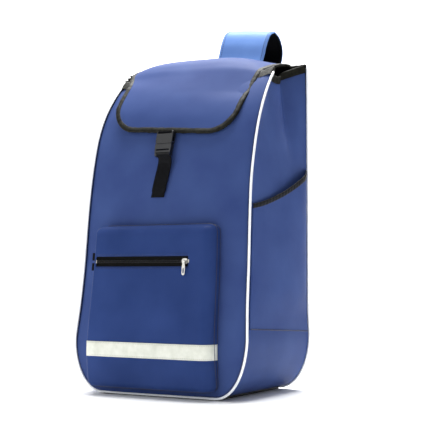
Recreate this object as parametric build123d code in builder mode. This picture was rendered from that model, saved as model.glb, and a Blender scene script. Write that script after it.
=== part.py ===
from build123d import *
import os

# Fabric bag of a two-wheeled shopping trolley. Millimetres, +Z up, the front
# faces -Y and +X is on the right. The origin is the middle of the underside.

os.makedirs("parts", exist_ok=True)

# ---- driving dimensions ---------------------------------------------------
base_height = 5            # black base cover under the bag
wall = 1.6                 # coated bag cloth, drawn thicker than it is
lining = 0.8
webbing = 1.3
webbing_width = 25
back_y = 112
back_half = 168            # half width of the back panel
corner_wide = 58           # elliptical bottom corners of the outline
corner_high = 92
outline_half = 171
mouth_front = 552          # height of the mouth at the front panel
mouth_dip = 545            # lowest point of each side of the mouth
mouth_back = 574
mouth_tape = 14            # width of the satin tape round the mouth
piping = 3

# Front panel by height: z, y of its side seams, half width, outward bulge of
# its middle, and how far the side gussets are pinched in.
stations = [
    (-30, -110.5, 170, 0.5, 0),
    (0, -112, 170, 2, 0),
    (35, -113, 170, 4.5, -1),
    (70, -112.5, 170, 7, -2),
    (105, -109, 168, 10, -3),
    (150, -103, 165, 12, -4),
    (210, -95, 163, 15, -4),
    (260, -90.5, 162, 17, -4),
    (310, -86, 161, 18, -4),
    (360, -79.5, 160, 18, -3),
    (405, -70, 160, 18, 0),
    (450, -56.5, 160, 17.5, 5),
    (490, -37, 159, 16, 12),
    (525, -12, 157, 13, 20),
    (552, 13, 155, 10, 25),
    (584, 42, 153, 8, 28),
]

# Front pocket, a box pocket that stands off the front panel.
pocket_half = 117
pocket_bottom = 14
pocket_top = 285
pocket_corner = 12
pocket_face = [(-134, 0), (-142, 50), (-144, 90), (-138.5, 150), (-130.5, 225), (-126, 300)]
strip_low = 66
strip_high = 91
strip_thick = 0.5

# Zip of the front pocket, closed, with its slider at the right-hand end.
zip_left = -114
zip_right = 74
zip_z = 224.5
zip_slit = 17
zip_lean = 6
tape_wide = 13
teeth_high = 1.9
teeth_gap = 1.6
slider_x = 66

# Side pockets on the gussets.
side_pocket_stand = 9
side_pocket_top = [(-110, 313), (-60, 322), (0, 341), (60, 366), (120, 392)]
side_pocket_bottom_front = 115
side_pocket_bottom_back = 102
elastic = 8

# Lid: centre line of its top face from the hinge to the front edge.
lid_line = [(113, 578), (85, 588), (50, 591), (25, 583), (6, 568), (-9, 552), (-34, 526),
            (-55, 500), (-71, 475), (-83, 446)]
lid_crown = [0, 1, 2, 4, 6, 8, 9, 9, 9, 9]     # setback of the edges, point by point
lid_droop = [0, 3, 5, 3, 1, 0, 0, 0, 0, 0]           # how much lower the edges lie
lid_reference = 140
lid_bottom = 446
lid_side = 121
lid_rear = 136
lid_shift = -4             # the flap hangs a little to the left
lid_corner = 49
lid_tape = 8

# Closure buckle, on a plane 7 mm off the front panel.
buckle_z = 425
buckle_stand = 7
buckle_lean = 15.6
buckle_wide = 33
buckle_thick = 9

# Rear loop, in side view from the upper seam round to the lower tab.
loop_half = 49
loop_thick = 2
loop_front_line = [(113.2, 498), (118, 524), (134, 552), (152, 582), (166, 608), (175, 635),
                   (189, 656), (208, 665)]
loop_rear_line = [(208.9, 665), (226, 658), (240, 642), (244, 624), (238, 603), (217, 571)]
loop_tab_line = [(113.2, 440), (119, 462), (132, 482)]


def smooth_line(points):
    return Spline(*points, mode=Mode.PRIVATE)


def ribbon_points(line, shift, steps):
    """Points beside a line, `shift` to the left of its running direction."""
    rows = []
    for i in range(steps + 1):
        here = line @ (i / steps)
        side = line % (i / steps)
        rows.append((here.X - side.Y * shift, here.Y + side.X * shift))
    return rows


def ribbon_outline(points, low, high, steps=14):
    """Closed outline between two parallels of the line through the points."""
    line = smooth_line(points)
    first = ribbon_points(line, low, steps)
    second = ribbon_points(line, high, steps)
    Spline(*first)
    Line(first[-1], second[-1])
    Spline(*reversed(second))
    Line(second[0], first[0])


def ribbon(points, low, high, half, steps=14):
    """A strip of width 2 * half in X whose side view is the ribbon."""
    with BuildPart() as strip:
        with BuildSketch(Plane.YZ):
            with BuildLine():
                ribbon_outline(points, low, high, steps)
            make_face()
        extrude(amount=half, both=True)
    return strip.part


def bag_form(grow):
    """The bag's outer form, grown outwards by `grow`, with no mouth cut."""
    half_out = outline_half + grow
    low = base_height - grow
    flat = outline_half - corner_wide
    with BuildPart() as form:
        for z, y, half, bulge, pinch in stations:
            front = y - grow
            side = half + grow
            rear = back_half + grow
            rear_y = back_y + grow
            middle = ((side + rear) / 2 - pinch, (front + rear_y) / 2)
            with BuildSketch(Plane.XY.offset(z)):
                with BuildLine():
                    Spline((-side, front), (0, front - bulge), (side, front))
                    Spline((side, front), middle, (rear, rear_y))
                    Line((rear, rear_y), (-rear, rear_y))
                    Spline((-rear, rear_y), (-middle[0], middle[1]), (-side, front))
                make_face()
        loft()
        with BuildSketch(Plane.XZ):
            with BuildLine():
                Line((-flat, low), (flat, low))
                EllipticalCenterArc((flat, base_height + corner_high), corner_wide + grow,
                                    corner_high + grow, 270, arc_size=90)
                Polyline((half_out, base_height + corner_high), (half_out, 640),
                         (-half_out, 640), (-half_out, base_height + corner_high))
                EllipticalCenterArc((-flat, base_height + corner_high), corner_wide + grow,
                                    corner_high + grow, 180, arc_size=90)
            make_face()
        extrude(amount=250, both=True, mode=Mode.INTERSECT)
    return form.part


def side_view_prism(points, half=260):
    """A prism along X from a closed polygon in side view."""
    with BuildPart() as prism:
        with BuildSketch(Plane.YZ):
            with BuildLine():
                Polyline(*points, close=True)
            make_face()
        extrude(amount=half, both=True)
    return prism.part


def above_mouth(drop):
    """Everything above the mouth's edge, lowered by `drop`."""
    edge = [(-200, mouth_front), (17, mouth_front), (40, mouth_dip), (58, mouth_dip),
            (96, mouth_back - 8), (108, mouth_back), (200, mouth_back)]
    points = [(y, z - drop) for y, z in edge] + [(200, 720), (-200, 720)]
    return side_view_prism(points)


def front_of_seam(shift):
    """Everything in front of the front seam, which is moved back by `shift`."""
    seam = [(y + shift, z) for z, y, half, bulge, pinch in stations]
    with BuildPart() as prism:
        with BuildSketch(Plane.YZ):
            with BuildLine():
                Spline(*seam)
                Polyline(seam[-1], (-260, 640), (-260, -30), seam[0])
            make_face()
        extrude(amount=260, both=True)
    return prism.part


def behind(y):
    return side_view_prism([(y, -30), (300, -30), (300, 720), (y, 720)])


def slab(low, high):
    return side_view_prism([(-300, low), (300, low), (300, high), (-300, high)])


def beside(x):
    """Everything to the right of the plane at x."""
    with BuildPart() as block:
        with BuildSketch(Plane.XY.offset(-30)):
            with Locations((x + 200, 0)):
                Rectangle(400, 700)
        extrude(amount=760)
    return block.part


def front_view(inset, halves):
    """Prism of the bag's front view, set in by `inset`, with the given half widths."""
    low = base_height + inset
    top = base_height + corner_high
    flat = outline_half - corner_wide
    side = [(half - inset, z) for z, half in halves if z > top + 20]
    turn = (outline_half - inset, top)
    with BuildPart() as prism:
        with BuildSketch(Plane.XZ):
            with BuildLine():
                Line((0, low), (flat, low))
                EllipticalCenterArc((flat, top), corner_wide - inset, corner_high - inset,
                                    270, arc_size=90)
                Polyline(turn, *side, (side[-1][0], 640), (0, 640))
                mirror(about=Plane.YZ)
            make_face()
        extrude(amount=260, both=True)
    return prism.part


def front_surface(z):
    """The y of the front panel's outer face at x = 0."""
    line = smooth_line([(y - bulge, h) for h, y, half, bulge, pinch in stations])
    low = 0.0
    high = 1.0
    for _ in range(40):
        middle = (low + high) / 2
        if (line @ middle).Y < z:
            low = middle
        else:
            high = middle
    return (line @ low).X


# ---- bag shell ------------------------------------------------------------
outer = bag_form(0)
inner = bag_form(-wall)
grown = bag_form(piping)
mouth = above_mouth(0)
front_zone = front_of_seam(wall)
back_zone = behind(back_y - wall)

with BuildPart() as shell:
    add(outer)
    add(inner, mode=Mode.SUBTRACT)
    add(mouth, mode=Mode.SUBTRACT)

with BuildPart() as front_panel:
    add(shell.part)
    add(front_zone, mode=Mode.INTERSECT)
front_panel.part.label = "front_panel"
export_step(front_panel.part, "parts/front_panel.step")

with BuildPart() as back_panel:
    add(shell.part)
    add(back_zone, mode=Mode.INTERSECT)
back_panel.part.label = "back_panel"
export_step(back_panel.part, "parts/back_panel.step")

with BuildPart() as gusset:
    add(shell.part)
    add(front_zone, mode=Mode.SUBTRACT)
    add(back_zone, mode=Mode.SUBTRACT)

gusset_split = outline_half - corner_wide
right_of_split = beside(gusset_split)

with BuildPart() as side_panel_right:
    add(gusset.part)
    add(right_of_split, mode=Mode.INTERSECT)
side_panel_right.part.label = "side_panel_right"
export_step(side_panel_right.part, "parts/side_panel_right.step")

with BuildPart() as side_panel_left:
    add(mirror(side_panel_right.part, about=Plane.YZ, mode=Mode.PRIVATE))
side_panel_left.part.label = "side_panel_left"
export_step(side_panel_left.part, "parts/side_panel_left.step")

with BuildPart() as bottom_panel:
    add(gusset.part)
    with BuildSketch(Plane.XY.offset(base_height)):
        Rectangle(2 * gusset_split, 400)
    extrude(amount=2 * wall, mode=Mode.INTERSECT)
bottom_panel.part.label = "bottom_panel"
export_step(bottom_panel.part, "parts/bottom_panel.step")

# ---- base -----------------------------------------------------------------
with BuildPart() as base_cover:
    with BuildSketch():
        RectangleRounded(2 * gusset_split, 2 * back_y - 6, 12)
    extrude(amount=base_height)
    fillet(base_cover.edges().group_by(Axis.Z)[0], 1.5)
base_cover.part.label = "base_cover"
export_step(base_cover.part, "parts/base_cover.step")

board_floor = base_height + wall + 1
with BuildPart() as base_board:
    with BuildSketch(Plane.XY.offset(board_floor)):
        RectangleRounded(2 * gusset_split - 8, 2 * back_y - 12, 10)
    extrude(amount=3)
base_board.part.label = "base_board"
export_step(base_board.part, "parts/base_board.step")

# ---- piping, binding and seam tapes ---------------------------------------
below_tape = above_mouth(mouth_tape)

with BuildPart() as front_piping:
    add(grown)
    add(outer, mode=Mode.SUBTRACT)
    add(front_of_seam(2.2), mode=Mode.INTERSECT)
    add(front_of_seam(-2), mode=Mode.SUBTRACT)
    add(front_view(2.5, [(z, half) for z, y, half, bulge, pinch in stations]),
        mode=Mode.SUBTRACT)
    add(below_tape, mode=Mode.SUBTRACT)
front_piping.part.label = "front_piping"
export_step(front_piping.part, "parts/front_piping.step")

with BuildPart() as back_piping:
    add(grown)
    add(outer, mode=Mode.SUBTRACT)
    add(behind(back_y - 2.2), mode=Mode.INTERSECT)
    add(behind(back_y + 2), mode=Mode.SUBTRACT)
    add(front_view(2.5, [(140, back_half), (600, back_half)]), mode=Mode.SUBTRACT)
    add(below_tape, mode=Mode.SUBTRACT)
back_piping.part.label = "back_piping"
export_step(back_piping.part, "parts/back_piping.step")

tape_thick = 1
with BuildPart() as mouth_binding:
    add(bag_form(tape_thick))
    add(bag_form(-wall - tape_thick), mode=Mode.SUBTRACT)
    add(above_mouth(-tape_thick), mode=Mode.SUBTRACT)
    add(below_tape, mode=Mode.INTERSECT)
    add(shell.part, mode=Mode.SUBTRACT)
mouth_binding.part.label = "mouth_binding"
export_step(mouth_binding.part, "parts/mouth_binding.step")

inside_lining = bag_form(-wall - tape_thick)
with BuildPart() as seam_tape_front:
    add(inner)
    add(inside_lining, mode=Mode.SUBTRACT)
    add(front_of_seam(12), mode=Mode.INTERSECT)
    add(front_of_seam(wall), mode=Mode.SUBTRACT)
    add(below_tape, mode=Mode.SUBTRACT)
seam_tape_front.part.label = "seam_tape_front"
export_step(seam_tape_front.part, "parts/seam_tape_front.step")

with BuildPart() as seam_tape_back:
    add(inner)
    add(inside_lining, mode=Mode.SUBTRACT)
    add(behind(back_y - 12), mode=Mode.INTERSECT)
    add(behind(back_y - wall - tape_thick), mode=Mode.SUBTRACT)
    add(below_tape, mode=Mode.SUBTRACT)
seam_tape_back.part.label = "seam_tape_back"
export_step(seam_tape_back.part, "parts/seam_tape_back.step")


# ---- front pocket ---------------------------------------------------------
def pocket_form(grow):
    """The pocket's block, from its face back into the bag."""
    face = [(y - grow, z) for y, z in pocket_face]
    with BuildPart() as form:
        with BuildSketch(Plane.YZ):
            with BuildLine():
                Spline(*face)
                Polyline(face[-1], (-40, 300), (-40, 0), face[0])
            make_face()
        extrude(amount=pocket_half + grow, both=True)
        with BuildSketch(Plane.XZ):
            with Locations((0, (pocket_bottom + pocket_top) / 2)):
                RectangleRounded(2 * (pocket_half + grow),
                                 pocket_top - pocket_bottom + 2 * grow, pocket_corner + grow)
        extrude(amount=250, both=True, mode=Mode.INTERSECT)
    return form.part


def behind_face(shift):
    """Everything behind the pocket's face, which is moved back by `shift`."""
    face = [(y + shift, z) for y, z in pocket_face]
    with BuildPart() as prism:
        with BuildSketch(Plane.YZ):
            with BuildLine():
                Spline(*face)
                Polyline(face[-1], (0, 300), (0, 0), face[0])
            make_face()
        extrude(amount=200, both=True)
    return prism.part


zip_plane = Plane(origin=(0, -130.5, zip_z), x_dir=(1, 0, 0),
                  z_dir=Vector(0, -1, 0).rotate(Axis.X, -zip_lean))
zip_middle = (zip_left + zip_right) / 2
zip_long = zip_right - zip_left
behind_wall = behind_face(wall)

with BuildPart() as pocket_shell:
    add(pocket_form(0))
    add(pocket_form(-wall), mode=Mode.SUBTRACT)
    add(outer, mode=Mode.SUBTRACT)

with BuildPart() as pocket_front:
    add(pocket_form(0))
    add(behind_wall, mode=Mode.SUBTRACT)
    with BuildSketch(zip_plane):
        with Locations((zip_middle, 0)):
            RectangleRounded(zip_long, zip_slit, 3)
    extrude(amount=10, both=True, mode=Mode.SUBTRACT)
pocket_front.part.label = "pocket_front"
export_step(pocket_front.part, "parts/pocket_front.step")

with BuildPart() as pocket_gusset:
    add(pocket_shell.part)
    add(behind_wall, mode=Mode.INTERSECT)
pocket_gusset.part.label = "pocket_gusset"
export_step(pocket_gusset.part, "parts/pocket_gusset.step")

with BuildPart() as reflective_strip:
    add(pocket_form(strip_thick))
    add(pocket_form(0), mode=Mode.SUBTRACT)
    add(slab(strip_low, strip_high), mode=Mode.INTERSECT)
    add(bag_form(0.4), mode=Mode.SUBTRACT)
reflective_strip.part.label = "reflective_strip"
export_step(reflective_strip.part, "parts/reflective_strip.step")

# ---- zip ------------------------------------------------------------------
tape_back = -2.6
tape_front = -1.8
teeth_back = -3.4
teeth_front = -0.6
row_low = teeth_gap / 2
row_high = row_low + teeth_high

for side, name in ((1, "upper"), (-1, "lower")):
    with BuildPart() as zip_tape:
        with BuildSketch(zip_plane.offset(tape_back)):
            with Locations((zip_middle + 1.6, side * (row_high + tape_wide / 2))):
                Rectangle(zip_long + 6, tape_wide)
        extrude(amount=tape_front - tape_back)
    zip_tape.part.label = "zip_tape_" + name
    export_step(zip_tape.part, "parts/zip_tape_" + name + ".step")

    with BuildPart() as zip_teeth:
        with BuildSketch(zip_plane.offset(teeth_back)):
            with Locations((zip_middle, side * (row_low + teeth_high / 2))):
                Rectangle(zip_long - 5, teeth_high)
        extrude(amount=teeth_front - teeth_back)
    zip_teeth.part.label = "zip_teeth_" + name
    export_step(zip_teeth.part, "parts/zip_teeth_" + name + ".step")

with BuildPart() as zip_end_stops:
    with BuildSketch(zip_plane.offset(teeth_back)):
        with Locations((zip_left + 1.4, 0), (zip_right - 1.4, 0)):
            Rectangle(1.8, 2 * row_high)
    extrude(amount=teeth_front - teeth_back + 0.4)
zip_end_stops.part.label = "zip_end_stops"
export_step(zip_end_stops.part, "parts/zip_end_stops.step")

slider_long = 10
slider_wide = 8.6
plate = 1.3
plate_gap = 0.35
bar_height = 3.6
bar_radius = 0.78
bail_long = 7.2
post = 1.3
with BuildPart() as zip_slider:
    with BuildSketch(zip_plane.offset(teeth_front + plate_gap)):
        with Locations((slider_x, 0)):
            RectangleRounded(slider_long, slider_wide, 2.4)
    extrude(amount=plate)
    with BuildSketch(zip_plane.offset(teeth_back - plate_gap - plate)):
        with Locations((slider_x, 0)):
            RectangleRounded(slider_long, slider_wide, 2.4)
    extrude(amount=plate)
    with BuildSketch(zip_plane.offset(teeth_back - plate_gap)):
        with Locations((slider_x - slider_long / 2 + 1.6, 0)):
            Rectangle(2.4, teeth_gap - 2 * plate_gap)
    extrude(amount=teeth_front - teeth_back + 2 * plate_gap)
    with BuildSketch(zip_plane.offset(teeth_front + plate_gap + plate)):
        with Locations((slider_x - bail_long / 2 + post / 2, 0),
                       (slider_x + bail_long / 2 - post / 2, 0)):
            Rectangle(post, 2.2)
    extrude(amount=bar_height - teeth_front - plate_gap - plate + bar_radius)
    with BuildSketch(Plane(origin=zip_plane.from_local_coords((slider_x - bail_long / 2, 0,
                                                               bar_height)),
                           x_dir=(0, 1, 0), z_dir=(1, 0, 0))):
        Circle(bar_radius)
    extrude(amount=bail_long)
zip_slider.part.label = "zip_slider"
export_step(zip_slider.part, "parts/zip_slider.step")

pivot = zip_plane.from_local_coords((slider_x, 0, bar_height))
pull_plane = Plane(origin=pivot, x_dir=(1, 0, 0), z_dir=zip_plane.z_dir)
knuckle = bail_long - 2 * post - 0.7
pull_thick = 1.2
with BuildPart() as zip_puller:
    with BuildSketch(pull_plane.offset(-pull_thick / 2)):
        with BuildLine():
            Polyline((-knuckle / 2, 0), (-knuckle / 2, -4), (-2.9, -8), (-2.9, -20.5))
            ThreePointArc((-2.9, -20.5), (0, -23.4), (2.9, -20.5))
            Polyline((2.9, -20.5), (2.9, -8), (knuckle / 2, -4), (knuckle / 2, 0),
                     (-knuckle / 2, 0))
        make_face()
        with Locations((0, -16)):
            SlotOverall(8, 2.4, rotation=90, mode=Mode.SUBTRACT)
    extrude(amount=pull_thick)
    with BuildSketch(Plane(origin=pivot - Vector(knuckle / 2, 0, 0), x_dir=(0, 1, 0),
                           z_dir=(1, 0, 0))):
        Circle(bar_radius + 0.95)
    extrude(amount=knuckle)
    with BuildSketch(Plane(origin=pivot - Vector(knuckle / 2, 0, 0), x_dir=(0, 1, 0),
                           z_dir=(1, 0, 0))):
        Circle(bar_radius + 0.08)
    extrude(amount=knuckle, mode=Mode.SUBTRACT)
zip_puller.part.label = "zip_puller"
export_step(zip_puller.part, "parts/zip_puller.step")
print("zip pivot", pivot)


# ---- side pockets ---------------------------------------------------------
def side_pocket_zone(inset, open_top):
    """Side view of a side pocket, set in from its seams by `inset`."""
    front = [(y + 5 + inset, z) for z, y, half, bulge, pinch in stations[2:11]]
    rear = back_y - 5 - inset
    slope = (side_pocket_bottom_back - side_pocket_bottom_front) / (2 * back_y)
    low_front = side_pocket_bottom_front + inset
    low_rear = low_front + slope * 2 * back_y
    top = [(y, z + open_top) for y, z in side_pocket_top]
    with BuildPart() as zone:
        with BuildSketch(Plane.YZ):
            with BuildLine():
                Spline(*top)
                Polyline(top[-1], (130, low_rear), (-125, low_front), (-125, top[0][1]), top[0])
            make_face()
        extrude(amount=260)
        with BuildSketch(Plane.YZ):
            with BuildLine():
                Spline(*front)
                Polyline(front[-1], (front[-1][0] + 12, 420), (rear, 420), (rear, 60),
                         (front[0][0], 60), front[0])
            make_face()
        extrude(amount=260, mode=Mode.INTERSECT)
    return zone.part


stand_outer = bag_form(side_pocket_stand)
stand_inner = bag_form(side_pocket_stand - wall)

with BuildPart() as pocket_hollow:
    add(stand_inner)
    add(side_pocket_zone(wall, 20), mode=Mode.INTERSECT)

with BuildPart() as side_pocket_right:
    add(stand_outer)
    add(side_pocket_zone(0, 0), mode=Mode.INTERSECT)
    add(pocket_hollow.part, mode=Mode.SUBTRACT)
    add(bag_form(0.05), mode=Mode.SUBTRACT)
side_pocket_right.part.label = "side_pocket_right"
export_step(side_pocket_right.part, "parts/side_pocket_right.step")

with BuildPart() as side_pocket_binding_right:
    add(bag_form(side_pocket_stand + 1))
    add(bag_form(side_pocket_stand - wall - 1), mode=Mode.SUBTRACT)
    add(side_pocket_zone(wall, 1), mode=Mode.INTERSECT)
    add(side_pocket_zone(wall, -elastic), mode=Mode.SUBTRACT)
    add(side_pocket_right.part, mode=Mode.SUBTRACT)
side_pocket_binding_right.part.label = "side_pocket_binding_right"
export_step(side_pocket_binding_right.part, "parts/side_pocket_binding_right.step")

for piece, name in ((side_pocket_right, "side_pocket_left"),
                    (side_pocket_binding_right, "side_pocket_binding_left")):
    with BuildPart() as mirrored:
        add(mirror(piece.part, about=Plane.YZ, mode=Mode.PRIVATE))
    mirrored.part.label = name
    export_step(mirrored.part, "parts/" + name + ".step")


# ---- lid ------------------------------------------------------------------
def lid_band(top, under):
    """The lid's sheet between `top` above and `under` below its top face."""
    with BuildPart() as band:
        for x in (-lid_reference, -lid_reference / 2, 0, lid_reference / 2, lid_reference):
            share = (x / lid_reference) ** 2
            points = [(y + crown * share, z - droop * share)
                      for (y, z), crown, droop in zip(lid_line, lid_crown, lid_droop)]
            with BuildSketch(Plane.YZ.offset(x)):
                with BuildLine():
                    ribbon_outline(points, under, -top)
                make_face()
        loft()
    return band.part


def lid_outline(inset):
    """Prism of the lid's front view, set in by `inset`."""
    low = lid_bottom + inset
    side = lid_side - inset
    rear = lid_rear - inset
    corner = lid_corner - inset
    with BuildPart() as prism:
        with BuildSketch(Plane(origin=(lid_shift, 0, 0), x_dir=(1, 0, 0), z_dir=(0, -1, 0))):
            with BuildLine():
                Line((0, low), (side - corner, low))
                TangentArc((side - corner, low), (side, low + corner), tangent=(1, 0))
                Spline((side, low + corner), (side + 2, 535), (rear - 3, 572), (rear, 600))
                Line((rear, 600), (0, 600))
                mirror(about=Plane.YZ)
            make_face()
        extrude(amount=260, both=True)
    return prism.part


lid_front_view = lid_outline(0)

with BuildPart() as lid_flap:
    add(lid_band(0, 1.2))
    add(lid_outline(1), mode=Mode.INTERSECT)
lid_flap.part.label = "lid_flap"
export_step(lid_flap.part, "parts/lid_flap.step")

with BuildPart() as lid_lining:
    add(lid_band(-1.2, 1.2 + lining))
    add(lid_outline(1), mode=Mode.INTERSECT)
lid_lining.part.label = "lid_lining"
export_step(lid_lining.part, "parts/lid_lining.step")

with BuildPart() as lid_binding:
    add(lid_band(0.8, 2 + 0.8))
    add(lid_front_view, mode=Mode.INTERSECT)
    add(lid_outline(lid_tape), mode=Mode.SUBTRACT)
    add(lid_flap.part, mode=Mode.SUBTRACT)
    add(lid_lining.part, mode=Mode.SUBTRACT)
lid_binding.part.label = "lid_binding"
export_step(lid_binding.part, "parts/lid_binding.step")

# ---- closure strap and buckle ---------------------------------------------
buckle_up = Vector(0, 0, 1).rotate(Axis.X, -buckle_lean)
buckle_out = Vector(0, -1, 0).rotate(Axis.X, -buckle_lean)
buckle_origin = Vector(0, front_surface(buckle_z), buckle_z) + buckle_out * buckle_stand
buckle_plane = Plane(origin=buckle_origin, x_dir=(1, 0, 0), z_dir=buckle_out)
print("buckle", buckle_origin, buckle_up)

socket_low = -4
socket_high = 19
socket_bar = 1.6
with BuildPart() as buckle_socket:
    with BuildSketch(buckle_plane.offset(-buckle_thick / 2)):
        with Locations((0, (socket_low + socket_high) / 2)):
            RectangleRounded(buckle_wide, socket_high - socket_low, 3)
    extrude(amount=buckle_thick)
    fillet(buckle_socket.edges().filter_by(GeomType.LINE).group_by(Axis.Y)[0], 1)
    with BuildSketch(buckle_plane.offset(-3)):
        with Locations((0, (socket_low - 2 + 12.5) / 2)):
            Rectangle(28, 12.5 - socket_low + 2)
    extrude(amount=6, mode=Mode.SUBTRACT)
    with BuildSketch(buckle_plane.offset(-2.2)):
        with Locations((0, 5)):
            Rectangle(buckle_wide + 4, 9)
    extrude(amount=4.4, mode=Mode.SUBTRACT)
    for side in (1, -1):
        with BuildSketch(buckle_plane.offset(side * (socket_bar + 4))):
            with Locations((0, 17)):
                Rectangle(28, 6.6)
        extrude(amount=4, both=True, mode=Mode.SUBTRACT)
    with BuildSketch(buckle_plane):
        with Locations((0, 15.2)):
            SlotOverall(27, 2.6)
    extrude(amount=buckle_thick, both=True, mode=Mode.SUBTRACT)
buckle_socket.part.label = "buckle_socket"
export_step(buckle_socket.part, "parts/buckle_socket.step")

# The prongs bend on the real buckle; here their tips stop just inside the socket's bore.
prong_tip = 13.7
with BuildPart() as buckle_plug:
    with BuildSketch(buckle_plane.offset(-4)):
        with BuildLine():
            Polyline((-16, -4.6), (-16, -14), (-14.5, -26), (14.5, -26), (16, -14), (16, -4.6),
                     (-16, -4.6))
        make_face()
        with Locations((0, -15.5), (0, -21.5)):
            SlotOverall(27, 2.8, mode=Mode.SUBTRACT)
    extrude(amount=8)
    with BuildSketch(buckle_plane.offset(-1.7)):
        with Locations((0, 2)):
            Rectangle(7, 18)
        for side in (1, -1):
            with BuildLine():
                Polyline((side * 9.2, -6), (side * 12.2, -6), (side * 12.2, 1),
                         (side * prong_tip, 1.6), (side * prong_tip, 6), (side * 11.8, 11.4),
                         (side * 9.2, 11.4),
                         (side * 9.2, -6))
            make_face()
    extrude(amount=3.4)
buckle_plug.part.label = "buckle_plug"
export_step(buckle_plug.part, "parts/buckle_plug.step")


def off_front(z, gap):
    return (front_surface(z) - gap, z)


def on_buckle(up, out):
    point = buckle_plane.from_local_coords((0, up, out))
    return (point.Y, point.Z)


strap_half = webbing_width / 2
lid_strap = ribbon([on_buckle(18.6, 3.1), on_buckle(16, 2.5), on_buckle(14.9, 0),
                    on_buckle(16, -2.6), on_buckle(19.5, -5), off_front(452, 1.7),
                    off_front(464, 2.9), off_front(480, 4.4)], -webbing / 2, webbing / 2,
                   strap_half, 30)
lid_strap.label = "lid_strap"
export_step(lid_strap, "parts/lid_strap.step")

plug_strap = ribbon([off_front(z, 1) for z in (402, 390, 378, 366, 354, 342)], -webbing / 2,
                    webbing / 2, strap_half)
plug_strap.label = "plug_strap"
export_step(plug_strap, "parts/plug_strap.step")

tail_lean = -6
tail_line = [on_buckle(-21.5, -3.2), on_buckle(-21.5, 2.6), on_buckle(-23.4, 5.6),
             on_buckle(-28.5, 5.6), off_front(388, 6.6), off_front(370, 4.2),
             off_front(350, 3.2), off_front(332, 3)]
with BuildPart() as strap_tail:
    with BuildSketch(Plane.YZ):
        with BuildLine():
            ribbon_outline(tail_line, -webbing / 2, webbing / 2, 30)
        make_face()
    extrude(amount=60, both=True)
    with BuildSketch(Plane.XZ):
        with BuildLine():
            Polyline((-strap_half, 420), (strap_half, 420), (strap_half, 396),
                     (strap_half + tail_lean, 325), (-strap_half + tail_lean, 325),
                     (-strap_half, 396), (-strap_half, 420))
        make_face()
    extrude(amount=250, both=True, mode=Mode.INTERSECT)
strap_tail.part.label = "strap_tail"
export_step(strap_tail.part, "parts/strap_tail.step")

# ---- rear loop ------------------------------------------------------------
flap_gap = 4.9
contact_leg = [(150, 503), (167, 522.5), (184, 542)]
contact_side = Vector(0.754, -0.657)
flap_end = [(y + contact_side.X * flap_gap, z + contact_side.Y * flap_gap)
            for y, z in reversed(contact_leg)]
half_thick = loop_thick / 2
loop_pieces = {
    "loop_strap_front": ribbon(loop_front_line, -half_thick, half_thick, loop_half),
    "loop_strap_rear": ribbon(loop_rear_line + flap_end, -half_thick, half_thick, loop_half),
    "loop_tab": ribbon(loop_tab_line + contact_leg, -half_thick, half_thick, loop_half),
    "loop_hook_tape": ribbon(contact_leg, -2.2, -half_thick - 0.1, loop_half - 6),
    "loop_pile_tape": ribbon(contact_leg, half_thick - flap_gap + 0.15, -2.5, loop_half - 6),
}
for name, piece in loop_pieces.items():
    piece.label = name
    export_step(piece, "parts/" + name + ".step")

# ---- lower frame straps ---------------------------------------------------
frame_strap_x = 100
frame_strap_z = 100
frame_strap_line = [(-40, 113.6), (-33, 113.7), (-26, 115.2), (-16, 121), (0, 128),
                    (16, 121), (26, 115.2), (33, 113.7), (40, 113.6)]
for side, name in ((1, "frame_strap_right"), (-1, "frame_strap_left")):
    with BuildPart() as frame_strap:
        with BuildSketch(Plane((side * frame_strap_x, 0, frame_strap_z - strap_half))):
            with BuildLine():
                ribbon_outline(frame_strap_line, -webbing / 2, webbing / 2, 30)
            make_face()
        extrude(amount=webbing_width)
    frame_strap.part.label = name
    export_step(frame_strap.part, "parts/" + name + ".step")
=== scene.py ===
import math

import bpy
from mathutils import Matrix, Vector, noise


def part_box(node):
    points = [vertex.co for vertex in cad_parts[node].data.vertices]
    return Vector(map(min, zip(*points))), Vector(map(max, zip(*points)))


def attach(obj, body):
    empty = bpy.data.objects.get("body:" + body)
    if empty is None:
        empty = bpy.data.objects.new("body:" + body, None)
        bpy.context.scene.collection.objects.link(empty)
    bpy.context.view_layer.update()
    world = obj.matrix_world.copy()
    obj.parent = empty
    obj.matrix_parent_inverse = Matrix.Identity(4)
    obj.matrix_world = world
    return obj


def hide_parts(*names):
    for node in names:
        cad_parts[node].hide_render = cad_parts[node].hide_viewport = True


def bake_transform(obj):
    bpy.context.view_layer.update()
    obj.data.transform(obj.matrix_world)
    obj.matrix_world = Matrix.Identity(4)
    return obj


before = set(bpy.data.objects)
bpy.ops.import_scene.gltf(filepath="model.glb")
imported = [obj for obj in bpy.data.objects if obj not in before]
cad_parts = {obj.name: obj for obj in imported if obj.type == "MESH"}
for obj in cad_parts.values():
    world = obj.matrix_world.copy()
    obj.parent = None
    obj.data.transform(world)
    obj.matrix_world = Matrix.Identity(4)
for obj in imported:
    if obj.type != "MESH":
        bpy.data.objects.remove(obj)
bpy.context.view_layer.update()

mm = 0.001  # every length below is in mm


# helpers for shapes
def between(low, high, share):
    return low + (high - low) * share


def smoothStep(low, high, value):
    t = min(max((value - low) / (high - low), 0), 1)
    return t * t * (3 - 2 * t)


def hump(value, middle, spread):
    return math.exp(-((value - middle) / spread) ** 2)


def ripple(x, y, z, size):
    # slow unevenness, the same on every run; size is about one wave
    return noise.noise(Vector((x, y, z)) / size)


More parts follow.
